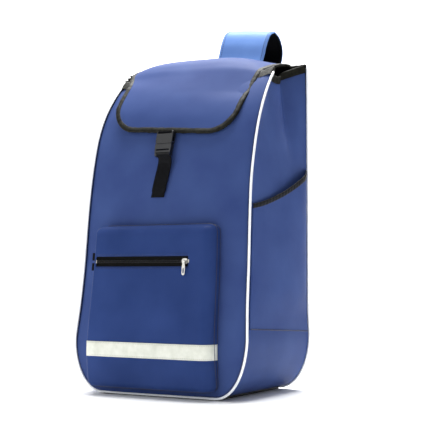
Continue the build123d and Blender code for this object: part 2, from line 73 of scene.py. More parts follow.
def rowsAt(rows, value):
    # smooth curve through rows of (position, a, b, ...)
    last = len(rows) - 1
    value = min(max(value, rows[0][0]), rows[last][0])
    i = 0
    while i < last - 1 and value > rows[i + 1][0]:
        i += 1
    here, there = rows[i], rows[i + 1]
    before = rows[i - 1] if i else here
    after = rows[i + 2] if i + 2 <= last else there
    step = there[0] - here[0]
    t = (value - here[0]) / step
    result = []
    for k in range(1, len(here)):
        slopeHere = (there[k] - before[k]) / (there[0] - before[0]) * step
        slopeThere = (after[k] - here[k]) / (after[0] - here[0]) * step
        result.append((2 * t ** 3 - 3 * t ** 2 + 1) * here[k] + (t ** 3 - 2 * t ** 2 + t) * slopeHere
                      + (3 * t ** 2 - 2 * t ** 3) * there[k] + (t ** 3 - t ** 2) * slopeThere)
    return result


def byLength(points):
    # rows of (length so far, ...) from a list of points
    rows = [(0.0, *points[0])]
    for a, b in zip(points, points[1:]):
        rows.append((rows[-1][0] + (Vector(b) - Vector(a)).length, *b))
    return rows


def pick(piece):
    bpy.ops.object.select_all(action="DESELECT")
    piece.select_set(True)
    bpy.context.view_layer.objects.active = piece


def applyModifier(piece, kind, **settings):
    pick(piece)
    modifier = piece.modifiers.new(kind.lower(), kind)
    for key, value in settings.items():
        setattr(modifier, key, value)
    bpy.ops.object.modifier_apply(modifier=modifier.name)


def sheetGrid(name, columns, rows, shape, size, merge=False):
    # a flat grid laid into its place point by point. shape(u, v) gives the place,
    # and size is the cloth's real width and length, which the weave follows
    bpy.ops.object.select_all(action="DESELECT")
    bpy.ops.mesh.primitive_grid_add(x_subdivisions=columns, y_subdivisions=rows, size=2)
    piece = bpy.context.object
    piece.name = piece.data.name = name
    flat = [((v.co.x + 1) / 2, (v.co.y + 1) / 2) for v in piece.data.vertices]
    uv = piece.data.uv_layers[0].data
    for loop in piece.data.loops:
        u, v = flat[loop.vertex_index]
        uv[loop.index].uv = (u * size[0] * mm, v * size[1] * mm)
    for vertex, (u, v) in zip(piece.data.vertices, flat):
        vertex.co = Vector(shape(u, v)) * mm
    if merge:
        bpy.ops.object.mode_set(mode="EDIT")
        bpy.ops.mesh.select_all(action="SELECT")
        bpy.ops.mesh.remove_doubles(threshold=0.00002)
        bpy.ops.mesh.normals_make_consistent(inside=False)
        bpy.ops.object.mode_set(mode="OBJECT")
    bpy.ops.object.shade_smooth()
    return piece


def thicken(piece, thickness, inner=None):
    # the cloth's thickness goes inwards, and inner is the material of its inner face
    if inner:
        piece.data.materials.append(inner)
    applyModifier(piece, "SOLIDIFY", thickness=thickness * mm, offset=-1, use_even_offset=True,
                  material_offset=1 if inner else 0)


def finishPiece(piece, material, body, nodes=()):
    if piece.data.materials:
        piece.data.materials[0] = material
    else:
        piece.data.materials.append(material)
    if body:
        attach(piece, body)
    if nodes:
        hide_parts(*nodes)
    return piece


def makeSheet(name, columns, rows, shape, size, thickness, material, body, nodes=(),
              inner=None):
    piece = sheetGrid(name, columns, rows, shape, size)
    if inner:
        piece.data.materials.append(material)
    thicken(piece, thickness, inner)
    return finishPiece(piece, material, body, nodes)


def pathTools(points):
    # length of a polyline, and the place and direction at any length along it
    lengths = [0.0]
    for a, b in zip(points, points[1:]):
        lengths.append(lengths[-1] + (b - a).length)

    def at(distance):
        distance = min(max(distance, 0), lengths[-1])
        low, high = 0, len(points) - 2
        while low < high:
            middle = (low + high) // 2
            if lengths[middle + 1] < distance:
                low = middle + 1
            else:
                high = middle
        span = max(lengths[low + 1] - lengths[low], 1e-9)
        place = points[low].lerp(points[low + 1], (distance - lengths[low]) / span)
        return place, (points[low + 1] - points[low]).normalized()
    return lengths[-1], at


def cordTube(name, points, radius, outward, sides=10, steps=160, closed=False):
    # round cord along the points, tapered to a closed tip at each end
    total, at = pathTools(points)

    def shape(u, v):
        place, along = at(v * total)
        ahead, _ = at(v * total + 2)
        behind, _ = at(v * total - 2)
        along = (ahead - behind).normalized()
        normal = outward(place)
        normal = (normal - along * normal.dot(along)).normalized()
        across = along.cross(normal)
        tip = 1 if closed else min(1, math.sqrt(max(0, min(v, 1 - v) * total / radius)))
        turn = 2 * math.pi * u
        return place + (normal * math.cos(turn) + across * math.sin(turn)) * radius * tip
    return sheetGrid(name, sides, steps, shape, (2 * math.pi * radius, total), merge=True)


def foldedTape(name, rim, width, stand, steps, length, pucker=0, closed=False, bunch=None):
    # tape folded over a cloth edge: rim(t, d) is the cloth d mm in from its edge
    def normalAt(t, d):
        step = 0.5 / steps
        if closed:
            along = Vector(rim((t + step) % 1, d)) - Vector(rim((t - step) % 1, d))
        else:
            along = Vector(rim(min(t + step, 1), d)) - Vector(rim(max(t - step, 0), d))
        inwards = Vector(rim(t, d + 2)) - Vector(rim(t, max(d - 2, 0)))
        return along.cross(inwards).normalized()

    def shape(u, v):
        t = v % 1 if closed else v
        run = v * length if not closed else (v % 1) * length
        swell = 1 + (bunch(t) if bunch else 0)
        wave = pucker * (ripple(run, u * 9, 3, 6) + 0.7 * ripple(run, u * 5, 40, 15)) * swell
        if u < 0.4:
            d, off = width * (1 - u / 0.4), stand
            d += 0.6 * pucker * ripple(run, 7, 11, 9) * (1 - u / 0.4)
        elif u > 0.6:
            d, off = width * (u - 0.6) / 0.4, -stand
        else:
            turn = (u - 0.4) / 0.2 * math.pi
            d, off = -stand * 1.1 * math.sin(turn), stand * math.cos(turn)
        off *= 0.4 + 0.6 * math.cos(min(max(d, 0) / width, 1) * math.pi / 2)
        off += wave * (1 if off > 0 else -0.6) + (stand * (swell - 1) * (1 if off > 0 else -0.5))
        base = Vector(rim(t, max(d, 0)))
        normal = normalAt(t, max(d, 0))
        if d < 0:
            base += (Vector(rim(t, 0)) - Vector(rim(t, 1.5))).normalized() * (-d + max(wave, 0))
        return base + normal * off
    piece = sheetGrid(name, 20, steps, shape, (2.3 * width, length), merge=closed)
    return piece


def stitchRow(name, points, outward, material, body, spacing=3.4, length=2.5, radius=0.33):
    # sewn thread: one small stitch, copied along the seam
    bpy.ops.object.select_all(action="DESELECT")
    bpy.ops.mesh.primitive_uv_sphere_add(segments=6, ring_count=4, radius=1)
    one = bpy.context.object
    points = [Vector(p) for p in points]
    total, at = pathTools(points)
    count = max(2, int(total / spacing))
    base = [v.co.copy() for v in one.data.vertices]
    polygons = [tuple(p.vertices) for p in one.data.polygons]
    bpy.data.objects.remove(one)
    vertices = []
    faces = []
    for i in range(count):
        place, along = at((i + 0.5) * total / count)
        normal = outward(place)
        normal = (normal - along * normal.dot(along)).normalized()
        turn = Matrix((along, normal.cross(along), normal)).transposed()
        start = len(vertices)
        for co in base:
            local = Vector((co.x * length / 2, co.y * radius, co.z * radius))
            vertices.append((place + turn @ local) * mm)
        faces += [tuple(start + k for k in face) for face in polygons]
    mesh = bpy.data.meshes.new(name)
    mesh.from_pydata(vertices, [], faces)
    piece = bpy.data.objects.new(name, mesh)
    bpy.context.collection.objects.link(piece)
    pick(piece)
    bpy.ops.object.shade_smooth()
    return finishPiece(piece, material, body, ())


# helpers for materials
def srgb(code):
    parts = [int(code[i:i + 2], 16) / 255 for i in (1, 3, 5)]
    return tuple(p / 12.92 if p <= 0.04045 else ((p + 0.055) / 1.055) ** 2.4 for p in parts) + (1,)


def addNode(tree, kind, values=None, links=None, **settings):
    node = tree.nodes.new(kind)
    for key, value in settings.items():
        setattr(node, key, value)
    for socket, value in (values or {}).items():
        node.inputs[socket].default_value = value
    for socket, (source, output) in (links or {}).items():
        tree.links.new(source.outputs[output], node.inputs[socket])
    return node


def newMaterial(name, roughness, **values):
    material = bpy.data.materials.new(name)
    material.use_nodes = True
    tree = material.node_tree
    shader = tree.nodes["Principled BSDF"]
    shader.inputs["Roughness"].default_value = roughness
    for socket, value in values.items():
        shader.inputs[socket.replace("_", " ")].default_value = value
    return material, tree, shader


def mixedColour(tree, shader, factor, deep, light):
    mix = addNode(tree, "ShaderNodeMix", {6: srgb(deep), 7: srgb(light)}, {0: factor},
                  data_type="RGBA")
    tree.links.new(mix.outputs[2], shader.inputs["Base Color"])
    return mix


def cloudOf(tree, place, size, detail=3):
    cloud = addNode(tree, "ShaderNodeTexNoise", {"Scale": 1 / (size * mm), "Detail": detail},
                    {"Vector": (place, "Object")})
    return addNode(tree, "ShaderNodeMapRange", {"From Min": 0.3, "From Max": 0.7},
                   {"Value": (cloud, "Fac")})


def wovenBump(tree, shader, place, thread, strength, depth):
    # over and under threads from the piece's own UV; one thread every `thread` mm
    waves = [addNode(tree, "ShaderNodeTexWave", {"Scale": math.pi / 10 / (thread * mm),
                                                 "Distortion": 0.4, "Detail": 1},
                     {"Vector": (place, "UV")}, bands_direction=direction)
             for direction in ("X", "Y")]
    cross = addNode(tree, "ShaderNodeMath", {}, {0: (waves[0], "Fac"), 1: (waves[1], "Fac")},
                    operation="MULTIPLY")
    bump = addNode(tree, "ShaderNodeBump", {"Strength": strength, "Distance": depth * mm},
                   {"Height": (cross, "Value")})
    tree.links.new(bump.outputs["Normal"], shader.inputs["Normal"])
    return cross


def coatedPolyester(name, deep, light, roughness=0.45):
    # calendered polyester: dense weave under a thin coating, smooth with a satin shine.
    # its 0.4 mm threads are drawn 1 mm apart, or they would not show
    material, tree, shader = newMaterial(name, roughness, Specular_IOR_Level=0.04)
    place = addNode(tree, "ShaderNodeTexCoord")
    cross = wovenBump(tree, shader, place, 1.0, 0.12, 0.1)
    spread = cloudOf(tree, place, 80)
    both = addNode(tree, "ShaderNodeMath", {1: 0.82, 2: 0.0}, {0: (spread, "Result")},
                   operation="MULTIPLY_ADD")
    fleck = addNode(tree, "ShaderNodeMath", {1: 0.18}, {0: (cross, "Value"), 2: (both, "Value")},
                    operation="MULTIPLY_ADD")
    mixedColour(tree, shader, (fleck, "Value"), deep, light)
    return material


def ribbedTape(name, deep, light, roughness, rib, strength, depth, cloud, shine):
    # woven narrow goods: satin binding, elastic, zip tape or webbing with its ribs
    material, tree, shader = newMaterial(name, roughness, Specular_IOR_Level=shine)
    place = addNode(tree, "ShaderNodeTexCoord")
    wovenBump(tree, shader, place, rib, strength, depth)
    spread = cloudOf(tree, place, cloud)
    mixedColour(tree, shader, (spread, "Result"), deep, light)
    return material


def mouldedPart(name, deep, light, roughness, grain, metallic=0.0):
    # moulded, extruded or cast surface, slightly uneven in tone and gloss
    material, tree, shader = newMaterial(name, roughness, Metallic=metallic)
    place = addNode(tree, "ShaderNodeTexCoord")
    spread = cloudOf(tree, place, grain)
    gloss = addNode(tree, "ShaderNodeMapRange", {"To Min": roughness * 0.8, "To Max": roughness * 1.2},
                    {"Value": (spread, "Result")})
    bump = addNode(tree, "ShaderNodeBump", {"Strength": 0.15, "Distance": 0.05 * mm},
                   {"Height": (spread, "Result")})
    tree.links.new(gloss.outputs["Result"], shader.inputs["Roughness"])
    tree.links.new(bump.outputs["Normal"], shader.inputs["Normal"])
    mixedColour(tree, shader, (spread, "Result"), deep, light)
    return material


bodyCloth = coatedPolyester("coatedPolyesterBlue", "#324273", "#3D4F80", 0.5)
pocketCloth = coatedPolyester("coatedPolyesterDeepBlue", "#233564", "#2D4073", 0.45)
loopCloth = coatedPolyester("coatedPolyesterLightBlue", "#6081BA", "#7092CC", 0.4)
lining = coatedPolyester("taffetaLiningBlack", "#070709", "#0D0D10", 0.55)
satinBinding = ribbedTape("satinTapeOliveBlack", "#0B0B08", "#22221B", 0.5, 0.9, 0.35, 0.2, 5, 0.1)
elasticTape = ribbedTape("elasticTapeBlack", "#05060A", "#0B0D14", 0.5, 1.2, 0.4, 0.3, 5, 0.12)
webbing = ribbedTape("polyesterWebbingBlack", "#040406", "#0A0B10", 0.6, 1.7, 0.7, 0.45, 5, 0.08)
zipTape = ribbedTape("wovenZipTapeBlack", "#040403", "#0B0A09", 0.65, 1.0, 0.5, 0.3, 5, 0.08)
reflective = ribbedTape("glassBeadTapeSilver", "#CDCFC1", "#E0E1D6", 0.42, 1.2, 0.2, 0.1, 14, 0.4)
piping = mouldedPart("extrudedVinylWhite", "#EEF0F3", "#FAFBFC", 0.35, 14)
baseVinyl = mouldedPart("vinylCoatedBaseBlack", "#0B0B0C", "#161617", 0.5, 6)
acetal = mouldedPart("mouldedAcetalBlack", "#08090C", "#101217", 0.4, 1.2)
coilNylon = mouldedPart("nylonCoilBlack", "#0B0A09", "#151411", 0.35, 1.5)
boardPlastic = mouldedPart("polypropyleneBoardGrey", "#303133", "#3E3F41", 0.6, 3)
nickel = mouldedPart("nickelPlatedZinc", "#B4B2AC", "#D6D4CE", 0.28, 0.9, 1.0)
napBlack = mouldedPart("hookPileBlack", "#060607", "#1C1C1F", 0.95, 0.8)
navyThread = mouldedPart("polyesterThreadNavy", "#131A3A", "#1D264C", 0.55, 1.5)
blackThread = mouldedPart("polyesterThreadBlack", "#0A0A0B", "#151517", 0.55, 1.5)
paleThread = mouldedPart("polyesterThreadPale", "#96978C", "#B6B7AB", 0.55, 1.5)
print("materials made")


# the bag's form: z, y of the front side seams, half width, bulge of the middle, pinch of the sides
formRows = [
    (-30, -110.5, 170, 0.5, 0), (0, -112, 170, 2, 0), (35, -113, 170, 4.5, -1),
    (70, -112.5, 170, 7, -2), (105, -109, 168, 10, -3), (150, -103, 165, 12, -4),
    (210, -95, 163, 15, -4), (260, -90.5, 162, 17, -4), (310, -86, 161, 18, -4),
    (360, -79.5, 160, 18, -3), (405, -70, 160, 18, 0), (450, -56.5, 160, 17.5, 5),
    (490, -37, 159, 16, 12), (525, -12, 157, 13, 20), (552, 13, 155, 10, 25),
    (584, 42, 153, 8, 28),
]
bag = {"bottom": 5, "cornerTop": 97, "flatHalf": 113, "backY": 112, "backHalf": 168,
       "mouthFront": 552, "mouthBack": 574, "cornerShare": 0.2, "cloth": 1.4}
# the mouth's edge along each side: share from front to back, height
mouthRows = [(0, 552), (0.1, 551), (0.25, 546.5), (0.45, 546), (0.65, 554), (0.85, 567), (1, 574)]


def frontY(x, z):
    seamY, half, bulge, _ = rowsAt(formRows, z)
    return seamY - bulge * (1 - (x / half) ** 2)


def edgeOf(up, half, top):
    # outline of a panel in front view: the round bottom corner, then the side up to the mouth
    if up < bag["cornerShare"]:
        angle = up / bag["cornerShare"] * math.pi / 2
        wide = half(bag["cornerTop"]) - bag["flatHalf"]
        x = bag["flatHalf"] + wide * math.sin(angle)
        return x, bag["cornerTop"] - (bag["cornerTop"] - bag["bottom"]) * math.cos(angle)
    z = between(bag["cornerTop"], top, (up - bag["cornerShare"]) / (1 - bag["cornerShare"]))
    return half(z), z


def frontHalf(z):
    return rowsAt(formRows, z)[1]


def backHalf(z):
    return bag["backHalf"] + 2 * smoothStep(150, 97, z)


def frontPoint(u, v):
    x, z = edgeOf(v, frontHalf, bag["mouthFront"])
    share = 2 * u - 1
    y = frontY(x * share, z)
    x *= share
    # the cloth is drawn in beside the piping and settles in slow waves
    y += 1.6 * smoothStep(0.88, 1.0, abs(share)) * smoothStep(40, 140, z)
    inside = 1 - abs(share) ** 6
    y += inside * (1.2 * ripple(x, 0, z, 150) + 0.5 * ripple(x, 3, z * 0.35, 45))
    return x, y, z


def backPoint(u, v):
    x, z = edgeOf(v, backHalf, bag["mouthBack"])
    share = 1 - 2 * u
    x *= share
    return x, bag["backY"] + (1 - share ** 6) * 0.8 * ripple(x, 40, z, 120), z


def gussetX(v, z):
    seamY, half, _, pinch = rowsAt(formRows, z)
    inside = 4 * v * (1 - v)
    # a fold runs down from the dip of the mouth, with a proud band in front of it
    fold = hump(v, 0.7, 0.1) * smoothStep(380, 500, z) * 13
    proud = hump(v, 0.4, 0.16) * smoothStep(370, 500, z) * 4.5
    x = between(half, backHalf(z), v) - pinch * inside - fold + proud
    y = between(seamY, bag["backY"], v)
    return x + (1.1 * ripple(30, y, z, 130) + 0.5 * ripple(60, y, z, 40)) * inside


def gussetPlace(v, z, out=0):
    # a place on the right-hand gusset, moved outwards by `out`
    seamY = rowsAt(formRows, z)[0]
    return Vector((gussetX(v, z) + out, between(seamY, bag["backY"], v), z))


def gussetPoint(v, up):
    # v 0 at the front seam, 1 at the back seam; up 0 at the bottom, 1 at the mouth
    top = rowsAt(mouthRows, v)[0]
    x, z = edgeOf(up, lambda height: gussetX(v, height), top)
    y = between(rowsAt(formRows, z)[0], bag["backY"], v)
    # small gathers where the gusset is eased into the round corner
    x += 0.45 * hump(up, 0.1, 0.07) * math.sin(up * 210) * abs(2 * v - 1)
    return x, y, z


makeSheet("frontPanel", 64, 110, frontPoint, (340, 600), bag["cloth"], bodyCloth, "bag",
          ["front_panel"], lining)
makeSheet("backPanel", 40, 70, backPoint, (340, 600), bag["cloth"], bodyCloth, "bag",
          ["back_panel"], lining)
for side, name in ((1, "Right"), (-1, "Left")):
    def sidePoint(u, v):
        x, y, z = gussetPoint(u if side > 0 else 1 - u, v)
        return side * x, y, z
    makeSheet("sideGusset" + name, 56, 120, sidePoint, (225, 620), bag["cloth"], bodyCloth, "bag",
              ["side_panel_" + name.lower()], lining)


def bottomPoint(u, v):
    x = between(-bag["flatHalf"], bag["flatHalf"], u)
    return x, between(bag["backY"], rowsAt(formRows, bag["bottom"])[0], v), bag["bottom"] + 0.1


makeSheet("bottomPanel", 20, 20, bottomPoint, (226, 224), bag["cloth"], bodyCloth, "bag",
          ["bottom_panel"], lining)
print("panels laid")

# piping in the long seams: up the left side is the same line as the right, turned over
pipe = {"radius": 2.0, "front": 0.8, "aside": 1.5, "steps": 90}


def pipingLine(half, seamY, top, forward):
    right = []
    for i in range(pipe["steps"] + 1):
        up = i / pipe["steps"]
        x, z = edgeOf(up, half, top)
        angle = min(up / bag["cornerShare"], 1) * math.pi / 2
        right.append(Vector((x + pipe["aside"] * math.sin(angle), seamY(z) + forward * pipe["front"],
                             z - pipe["aside"] * math.cos(angle))))
    left = [Vector((-p.x, p.y, p.z)) for p in reversed(right)]
    return left + [Vector((x, right[0].y, right[0].z)) for x in (-60, 0, 60)] + right


def awayFromMiddle(place):
    return Vector((place.x, 0, place.z - 290))


frontLine = pipingLine(frontHalf, lambda z: rowsAt(formRows, z)[0], bag["mouthFront"] - 3, -1)
backLine = pipingLine(backHalf, lambda z: bag["backY"], bag["mouthBack"] - 3, 1)
for name, line, node in (("pipingFront", frontLine, "front_piping"),
                         ("pipingBack", backLine, "back_piping")):
    piece = cordTube(name, line, pipe["radius"], awayFromMiddle, 12, 380)
    finishPiece(piece, piping, "bag", [node])
    # a thin dark cord just inside the piping is painted shade in the crease of the seam
    forward = -0.5 if node == "front_piping" else 0.5
    inner = [Vector((p.x * 0.984, p.y + forward, p.z + (3.2 if p.z < 90 else 0))) for p in line]
    piece = cordTube(name + "Seam", inner, 0.45, awayFromMiddle, 6, 300)
    finishPiece(piece, navyThread, "bag", ())

# seam tapes inside, over the raw edges
tape = {"width": 11, "inside": 3.0}


def innerTape(node, seamY, half, top, back):
    def shape(u, v):
        up = abs(2 * v - 1)
        x, z = edgeOf(up, half, top)
        side = -1 if v < 0.5 else 1
        y = seamY(z) + (-1 if back else 1) * (3 + u * tape["width"])
        share = (y - rowsAt(formRows, z)[0]) / (bag["backY"] - rowsAt(formRows, z)[0])
        drawnIn = (half(z) - gussetX(share, z)) * smoothStep(80, 130, z)
        return side * (x - drawnIn - tape["inside"] - 0.6), y, z + 3 * smoothStep(97, 5, z)
    makeSheet("seamTape" + ("Back" if back else "Front"), 6, 160, shape, (11, 1400), 0.6,
              satinBinding, "bag", [node])


innerTape("seam_tape_front", lambda z: rowsAt(formRows, z)[0],
          lambda z: frontHalf(z) - 0.15 * rowsAt(formRows, z)[3], bag["mouthFront"] - 16, False)
innerTape("seam_tape_back", lambda z: bag["backY"], backHalf, bag["mouthBack"] - 16, True)

# satin tape folded over the mouth's edge, bunched where it turns the four corners
mouthTape = {"width": 13, "stand": 1.7, "length": 1060}
mouthLengths = (310, 110, 336, 110)


def mouthRim(t, d):
    run = t * sum(mouthLengths)
    if run < mouthLengths[0]:
        share = between(-1, 1, run / mouthLengths[0])
        z = bag["mouthFront"] - d - 3 * hump(abs(share), 0.78, 0.1) + 3 * smoothStep(0.86, 0.97, abs(share))
        x = share * frontHalf(z)
        return x, frontY(x, z), z
    run -= mouthLengths[0]
    if run < mouthLengths[1]:
        v = run / mouthLengths[1]
        return gussetPlace(v, rowsAt(mouthRows, v)[0] - d)
    run -= mouthLengths[1]
    if run < mouthLengths[2]:
        z = bag["mouthBack"] - d
        return between(1, -1, run / mouthLengths[2]) * backHalf(z), bag["backY"], z
    v = 1 - (run - mouthLengths[2]) / mouthLengths[3]
    place = gussetPlace(v, rowsAt(mouthRows, v)[0] - d)
    return -place.x, place.y, place.z


def cornerBunch(t):
    total = sum(mouthLengths)
    corners = [0, mouthLengths[0], mouthLengths[0] + mouthLengths[1], total - mouthLengths[3], total]
    return max(1.3 * hump(t * total, c, 12) for c in corners)


def tuftPoint(u, v):
    # the binding gathered into pleats where it turns under the lid on the left
    across = between(-11, 11, u)
    up = between(-5, 5, v)
    pleat = 2.6 * math.sin(u * math.pi * 6) + 0.8 * ripple(across, up, 3, 9)
    return Vector((-152 + 0.8 * across - 0.45 * up + 0.5 * pleat, 22 + pleat, 560 + 0.6 * across + 0.85 * up))


makeSheet("mouthTuftLeft", 48, 8, tuftPoint, (22, 10), 1.4, satinBinding, "bag", [])
piece = foldedTape("mouthBinding", mouthRim, mouthTape["width"], mouthTape["stand"], 560,
                   mouthTape["length"], 0.9, True, cornerBunch)
finishPiece(piece, satinBinding, "bag", ["mouth_binding"])
print("piping and binding laid")

# front pocket: its face rolls back into its sides, in a soft roll that differs at each edge
pocket = {"low": 14, "high": 285, "corner": 13, "rollRight": 20, "rollLeft": 7, "rollTop": 17,
          "rollBottom": 9, "cloth": 1.3}
pocketRows = [(0, -134), (50, -142), (90, -144), (150, -138.5), (225, -130.5), (300, -126)]
zipper = {"left": -0.945, "right": 0.622, "low": 216, "high": 233, "z": 224.5}


def pocketHalf(z, left=False):
    # the pocket is cut fuller on its left
    half = 119.4 - 0.021 * (z - pocket["low"])
    if left:
        half = 127 - 0.036 * (z - pocket["low"])
    near = min(z - pocket["low"], pocket["high"] - z)
    if near < pocket["corner"]:
        half -= pocket["corner"] - math.sqrt(max(0, pocket["corner"] ** 2
                                                 - (pocket["corner"] - near) ** 2))
    return half


def roll(distance, radius):
    # how far a rolled edge of this radius lies behind the face
    if distance >= radius:
        return 0
    return radius - math.sqrt(max(0, radius ** 2 - (radius - distance) ** 2))


def pocketPlace(x, z, out=0):
    half = pocketHalf(z, x < 0)
    back = math.hypot(roll(half - x, pocket["rollRight"]) if x > 0 else roll(half + x, pocket["rollLeft"]),
                      roll(pocket["high"] - z, pocket["rollTop"])
                      + roll(z - pocket["low"], pocket["rollBottom"]))
    back = min(back, 21)
    inside = smoothStep(0, 40, half - abs(x))
    # the empty pocket hangs hollow under the zip and fuller near the bottom
    hang = 1.6 * hump(z, 60, 50) * inside - 1.2 * hump(z, 190, 30) * inside
    hang += 0.7 * ripple(x, 9, z, 70) * inside
    y = rowsAt(pocketRows, z)[0] - hang + back
    if back < 0.5:
        return Vector((x, y - out, z))
    # outwards turns from the front to the side as the edge rolls over
    lean = min(1, back / 17) * math.pi / 2
    sideways = 1 if x > 0 and half - x < pocket["rollRight"] else 0
    if x < 0 and half + x < pocket["rollLeft"]:
        sideways = -1
    upwards = 1 if pocket["high"] - z < pocket["rollTop"] else 0
    return Vector((x + sideways * math.sin(lean) * out, y - math.cos(lean) * out,
                   z + upwards * math.sin(lean) * out))


def spread(low, high, count):
    return [between(low, high, i / count) for i in range(count)]


def rolled(low, high, count, near):
    # shares that lie closer together at the rolled edge, which is at `near`
    steps = [i / count for i in range(count)]
    if near == "low":
        return [between(low, high, 1 - math.cos(s * math.pi / 2)) for s in steps]
    return [between(low, high, math.sin(s * math.pi / 2)) for s in steps]


pocketColumns = (rolled(-1, zipper["left"], 8, "low") + spread(zipper["left"], 0, 20)
                 + spread(0, zipper["right"], 14) + spread(zipper["right"], 0.83, 6)
                 + rolled(0.83, 1, 14, "high") + [1])
pocketLevels = (rolled(14, 27, 10, "low") + spread(27, 216, 40) + spread(216, 233, 4)
                + spread(233, 268, 8) + rolled(268, 285, 14, "high") + [285])


def pocketPoint(u, v):
    share = pocketColumns[round(u * (len(pocketColumns) - 1))]
    z = pocketLevels[round(v * (len(pocketLevels) - 1))]
    return pocketPlace(share * pocketHalf(z, share < 0), z)


pocketFace = sheetGrid("pocketFace", len(pocketColumns) - 1, len(pocketLevels) - 1, pocketPoint,
                       (236, 275))
pick(pocketFace)
bpy.ops.object.mode_set(mode="EDIT")
bpy.ops.mesh.select_all(action="DESELECT")
bpy.ops.object.mode_set(mode="OBJECT")
for face in pocketFace.data.polygons:
    x, y, z = face.center / mm
    face.select = (zipper["low"] < z < zipper["high"]
                   and zipper["left"] * pocketHalf(z, True) < x < zipper["right"] * pocketHalf(z))
bpy.ops.object.mode_set(mode="EDIT")
bpy.ops.mesh.delete(type="FACE")
bpy.ops.object.mode_set(mode="OBJECT")
pocketFace.data.materials.append(pocketCloth)
thicken(pocketFace, pocket["cloth"], lining)
finishPiece(pocketFace, pocketCloth, "bag", ["pocket_front"])

# the pocket's outline, from the top left corner round the right-hand side
pocketOutline = []
for i in range(241):
    turn = i / 240
    if turn < 0.23:
        z = pocket["high"]
        x = between(-pocketHalf(z, True), pocketHalf(z), turn / 0.23)
    elif turn < 0.5:
        z = between(pocket["high"], pocket["low"], (turn - 0.23) / 0.27)
        x = pocketHalf(z)
    elif turn < 0.73:
        z = pocket["low"]
        x = between(pocketHalf(z), -pocketHalf(z, True), (turn - 0.5) / 0.23)
    else:
        z = between(pocket["low"], pocket["high"], (turn - 0.73) / 0.27)
        x = -pocketHalf(z, True)
    pocketOutline.append(Vector((x, 0, z)))


def outlinePlace(t, depth):
    # depth 0 at the face's rolled edge, 1 at the bag
    spot = pocketOutline[round(t * 240)]
    edge = pocketPlace(spot.x * 0.9995, spot.z)
    rear = frontY(spot.x, spot.z) - 0.3
    return Vector((edge.x, between(edge.y, rear, depth), edge.z))


def gussetShape(u, v):
    return outlinePlace(v, 1 - u)


piece = sheetGrid("pocketSides", 8, 240, gussetShape, (22, 1010), merge=True)
thicken(piece, 1.2)
finishPiece(piece, pocketCloth, "bag", ["pocket_gusset"])
seamLine = [outlinePlace(i / 240, 0.02) + (outlinePlace(i / 240, 0) - Vector((0, 0, 150))).normalized() * 0.3
            for i in range(241)]
piece = cordTube("pocketSeam", seamLine, 0.9, awayFromMiddle, 8, 300)
finishPiece(piece, navyThread, "bag", ())
footLine = [outlinePlace(i / 240, 0.98) for i in range(241)]
piece = cordTube("pocketFootSeam", footLine, 0.8, awayFromMiddle, 8, 300)
finishPiece(piece, navyThread, "bag", ())
print("pocket made")

# reflective strip across the pocket, round both of its sides
strip = {"low": 66, "high": 91, "off": 0.6, "thick": 0.5}
stripPaths = {}


def stripLine(z, off):
    key = (round(z, 3), off)
    if key not in stripPaths:
        half = pocketHalf(z)
        leftHalf = pocketHalf(z, True)
        left = pocketPlace(-leftHalf, z)
        right = pocketPlace(half, z)
        points = [Vector((-leftHalf - off, frontY(leftHalf, z) - 1, z)), Vector((-leftHalf - off, left.y, z))]
        points += [pocketPlace(between(-leftHalf, half, i / 90), z, off) for i in range(1, 90)]
        points += [Vector((half + off, right.y, z)), Vector((half + off, frontY(half, z) - 1, z))]
        stripPaths[key] = pathTools(points)
    return stripPaths[key]


def stripPoint(u, v):
    total, at = stripLine(between(strip["low"], strip["high"], v), strip["off"] + strip["thick"])
    return at(u * total)[0]


makeSheet("reflectiveStrip", 150, 6, stripPoint, (290, 25), strip["thick"], reflective, "bag",
          ["reflective_strip"])
for level, name in ((strip["low"] + 2.2, "Lower"), (strip["high"] - 2.2, "Upper")):
    total, at = stripLine(level, strip["off"] + strip["thick"] + 0.2)
    stitchRow("stripStitch" + name, [at(i / 120 * total)[0] for i in range(121)],
              lambda place: Vector((place.x * 0.2, -60, 0)), paleThread, "bag")

